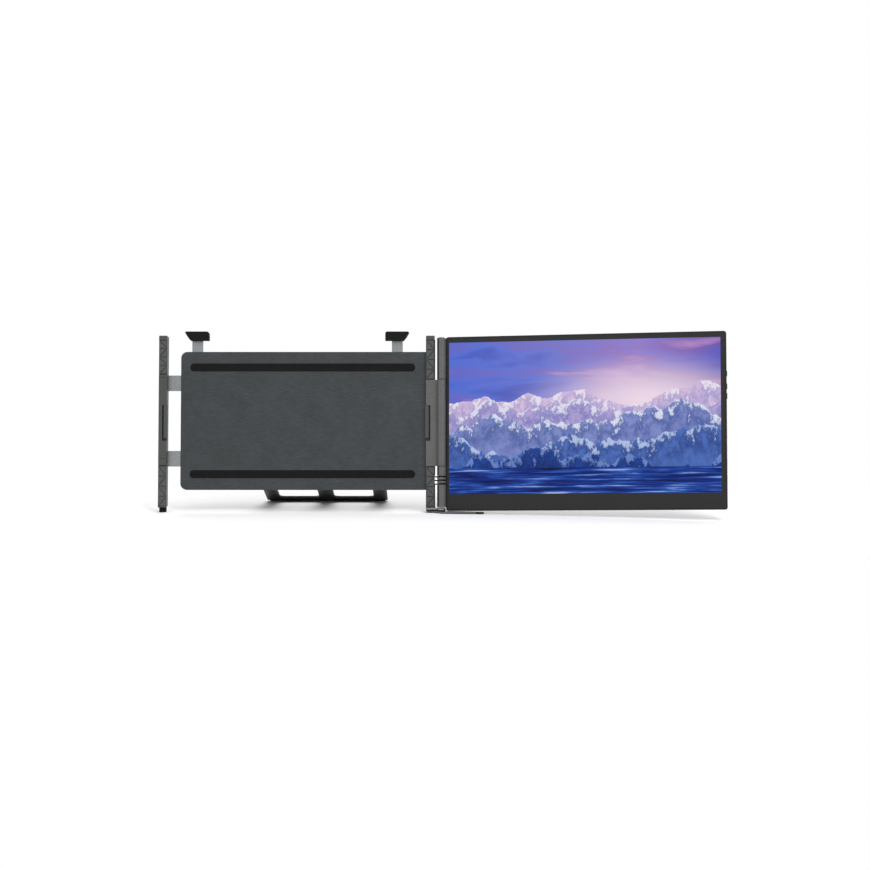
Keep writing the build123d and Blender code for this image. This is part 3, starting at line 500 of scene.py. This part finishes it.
# Black edging on the wall of the right rail that faces the hinge, with room for the hinge leaves
rail_wall = -8.5 * mm
edging_thickness = 0.6 * mm
edging_front = 3.2 * mm
edging_back = 8.0 * mm
edging_spans = ((6.8 * mm, 36.8 * mm), (48.3 * mm, 59.7 * mm), (170.7 * mm, 222.0 * mm))
edging_section = (
    (rail_wall, edging_front),
    (rail_wall + edging_thickness, edging_front + edging_thickness),
    (rail_wall + edging_thickness, edging_back),
    (rail_wall, edging_back),
)

edging = bmesh.new()
for edging_low, edging_high in edging_spans:
    prism(edging, edging_section, edging_low, edging_high)
add_piece("rail_edging", finish_mesh(edging, "rail_edging", bracket_pose), black_rubber, "bracket")

# Nylon washers in the two gaps between the barrels of the hinge
washer_outer = 5.3 * mm
washer_inner = 2.25 * mm
washer_play = 0.05 * mm
washer_sides = 48
knuckle_gap = 0.8 * mm

washers = bmesh.new()
for gap_low in (lower_knuckle_top, upper_knuckle_low - knuckle_gap):
    under = gap_low + washer_play
    over = gap_low + knuckle_gap - washer_play
    corners = ((washer_inner, under), (washer_outer, under), (washer_outer, over), (washer_inner, over))
    rings = []
    for radius, height in corners:
        points = arc((0, 0), radius, 0, 360, washer_sides)[:-1]
        rings.append([washers.verts.new((x, y, height)) for x, y in points])
    for first, second in zip(rings, rings[1:] + rings[:1]):
        for step in range(washer_sides):
            after = (step + 1) % washer_sides
            washers.faces.new((first[step], first[after], second[after], second[step]))
add_piece("hinge_washers", finish_mesh(washers, "hinge_washers", bracket_pose), black_nylon_and_painted_shade, "bracket")


# Screws with cross recesses, each one stopped a little further round than the one before. A recess
# has the length, width and depth of the arms of its cross.
screw_turn = radians(37)
bracket_recess = (3.4 * mm, 0.8 * mm, 1.0 * mm)
screen_recess = (2.3 * mm, 0.55 * mm, 0.6 * mm)


def screw_heads(mesh):
    """Middle of the back face of every separate screw in a mesh, in the pose of its body."""
    loose = bmesh.new()
    loose.from_mesh(mesh)
    unseen = set(loose.verts)
    heads = []
    while unseen:
        found = [unseen.pop()]
        for vertex in found:
            for edge in vertex.link_edges:
                other = edge.other_vert(vertex)
                if other in unseen:
                    unseen.remove(other)
                    found.append(other)
        xs, ys, zs = zip(*(vertex.co for vertex in found))
        heads.append(((min(xs) + max(xs)) / 2, max(ys), (min(zs) + max(zs)) / 2))
    loose.free()
    return sorted(heads)


def cross_recessed(node, body, pose, recess):
    """Screws of a node with a cross recess cut into each head."""
    arm_length, arm_width, depth = recess
    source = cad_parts[node].data.copy()
    source.transform(pose.inverted())
    cutter = bmesh.new()
    for index, head in enumerate(screw_heads(source)):
        for quarter in (0, pi / 2):
            turn = Matrix.Rotation(screw_turn * index + quarter, 4, "Y")
            size = Matrix.Diagonal((arm_length, 2 * depth, arm_width, 1))
            bmesh.ops.create_cube(cutter, size=1, matrix=Matrix.Translation(head) @ turn @ size)
    cutter_piece = bpy.data.objects.new("cutter", finish_mesh(cutter, "cutter", Matrix()))
    screws = bpy.data.objects.new("screws", source)
    for piece in (screws, cutter_piece):
        bpy.context.scene.collection.objects.link(piece)
    cut = screws.modifiers.new("recess", "BOOLEAN")
    cut.operation = "DIFFERENCE"
    cut.solver = "EXACT"
    cut.use_self = True
    cut.object = cutter_piece
    bpy.context.view_layer.update()
    finished = bpy.data.meshes.new_from_object(screws.evaluated_get(bpy.context.evaluated_depsgraph_get()))
    for piece in (screws, cutter_piece):
        bpy.data.objects.remove(piece)
    finished.transform(pose)
    add_piece(f"{node}_cross_recessed", finished, brushed_steel, body, node)


cross_recessed("bracket_screws", "bracket", bracket_pose, bracket_recess)
cross_recessed("screen_screws", "screen", screen_pose, screen_recess)


# Floor and backdrop: pale near the object, where it holds the shadow, and white further out

scene = bpy.context.scene
scene.view_settings.view_transform = "Standard"

# Distances are in metres. The pale part reaches less far in depth than across, by the squeeze.
floor_size = 14
pale_reach = 0.38
white_from = 0.85
depth_squeeze = (1, 1.8, 1)
paper_mottle = 2.5 * mm
paper_colours = ((0.3, "#f6f6f6"), (0.7, "#f9f9f9"))
white_light = (1, 1, 1, 1)
surrounding_light = (0.98, 0.98, 0.98, 1)
surrounding_strength = 0.6


def seen_directly(tree):
    """One for rays that come from the camera, a reflection or a clear piece."""
    path = add(tree, "ShaderNodeLightPath")
    first = add(tree, "ShaderNodeMath", {0: path.outputs["Is Camera Ray"], 1: path.outputs["Is Glossy Ray"]},
                operation="MAXIMUM")
    return add(tree, "ShaderNodeMath", {0: first.outputs["Value"], 1: path.outputs["Is Transmission Ray"]},
               operation="MAXIMUM").outputs["Value"]


def studio_floor():
    """Matt paper floor that turns to the white of the backdrop away from the object."""
    material = empty_material("matt_studio_paper")
    tree = material.node_tree
    place = add(tree, "ShaderNodeTexCoord").outputs["Object"]
    fibre = add(tree, "ShaderNodeTexNoise", {"Vector": place}, Scale=1 / paper_mottle,
                Detail=2.0).outputs["Fac"]
    pale = add(tree, "ShaderNodeValToRGB", {"Fac": fibre}, stops=paper_colours)
    paper = add(tree, "ShaderNodeBsdfDiffuse", {"Color": pale.outputs["Color"]})
    white = add(tree, "ShaderNodeEmission", Color=white_light, Strength=1.0)
    reach = add(tree, "ShaderNodeMapping", {"Vector": place}, Scale=depth_squeeze).outputs["Vector"]
    distance = add(tree, "ShaderNodeVectorMath", {0: reach}, operation="LENGTH").outputs["Value"]
    away = add(tree, "ShaderNodeMapRange", {"Value": distance}, From_Min=pale_reach, From_Max=white_from,
               interpolation_type="SMOOTHSTEP")
    share = add(tree, "ShaderNodeMath", {0: away.outputs["Result"], 1: seen_directly(tree)},
                operation="MULTIPLY")
    both = add(tree, "ShaderNodeMixShader", {"Fac": share.outputs["Value"], 1: paper.outputs["BSDF"],
                                             2: white.outputs["Emission"]})
    add(tree, "ShaderNodeOutputMaterial", {"Surface": both.outputs["Shader"]})
    return material


bpy.ops.mesh.primitive_plane_add(size=floor_size, location=(0, 0, 0))
floor = bpy.context.object
floor.name = "studio_floor"
floor.data.materials.append(studio_floor())

world = bpy.data.worlds.new("studio_world")
world.use_nodes = True
scene.world = world
tree = world.node_tree
tree.nodes.clear()
white = add(tree, "ShaderNodeBackground", Color=white_light, Strength=1.0)
soft = add(tree, "ShaderNodeBackground", Color=surrounding_light, Strength=surrounding_strength)
both = add(tree, "ShaderNodeMixShader", {"Fac": seen_directly(tree), 1: soft.outputs["Background"],
                                         2: white.outputs["Background"]})
add(tree, "ShaderNodeOutputWorld", {"Surface": both.outputs["Shader"]})


# Lights

def area_light(name, place, target, size, power):
    """Soft rectangular light aimed at a point: places and size in metres, power in watts."""
    data = bpy.data.lights.new(name, "AREA")
    data.shape = "RECTANGLE"
    data.size, data.size_y = size
    data.energy = power
    light = bpy.data.objects.new(name, data)
    scene.collection.objects.link(light)
    light.location = place
    light.rotation_euler = (Vector(target) - Vector(place)).to_track_quat("-Z", "Y").to_euler()


area_light("key_light", place=(1.3, -2.0, 2.2), target=(0.1, 0, 0.1), size=(1.6, 1.2), power=38)
area_light("fill_light", place=(-1.8, -1.8, 1.2), target=(0, 0, 0.1), size=(1.4, 1.4), power=5)
area_light("top_light", place=(0, 0.1, 2.4), target=(0, 0, 0), size=(3.0, 2.0), power=26)
area_light("back_light", place=(0.2, 2.0, 1.8), target=(0, 0, 0.1), size=(2.4, 0.8), power=22)


# Camera, fitted to the photo: its lens gives a focal length of 1996 pixels in a frame of 870

frame_pixels = 870
focal_pixels = 1996
camera_place = (-8.2 * mm, -2518 * mm, 345 * mm)
looking_down = 5.56
farthest_seen = 50

camera_data = bpy.data.cameras.new("camera")
camera = bpy.data.objects.new("camera", camera_data)
scene.collection.objects.link(camera)
camera_data.sensor_width = 36
camera_data.lens = camera_data.sensor_width * focal_pixels / frame_pixels
camera_data.clip_end = farthest_seen
camera.location = camera_place
camera.rotation_euler = (radians(90 - looking_down), 0, 0)
scene.camera = camera
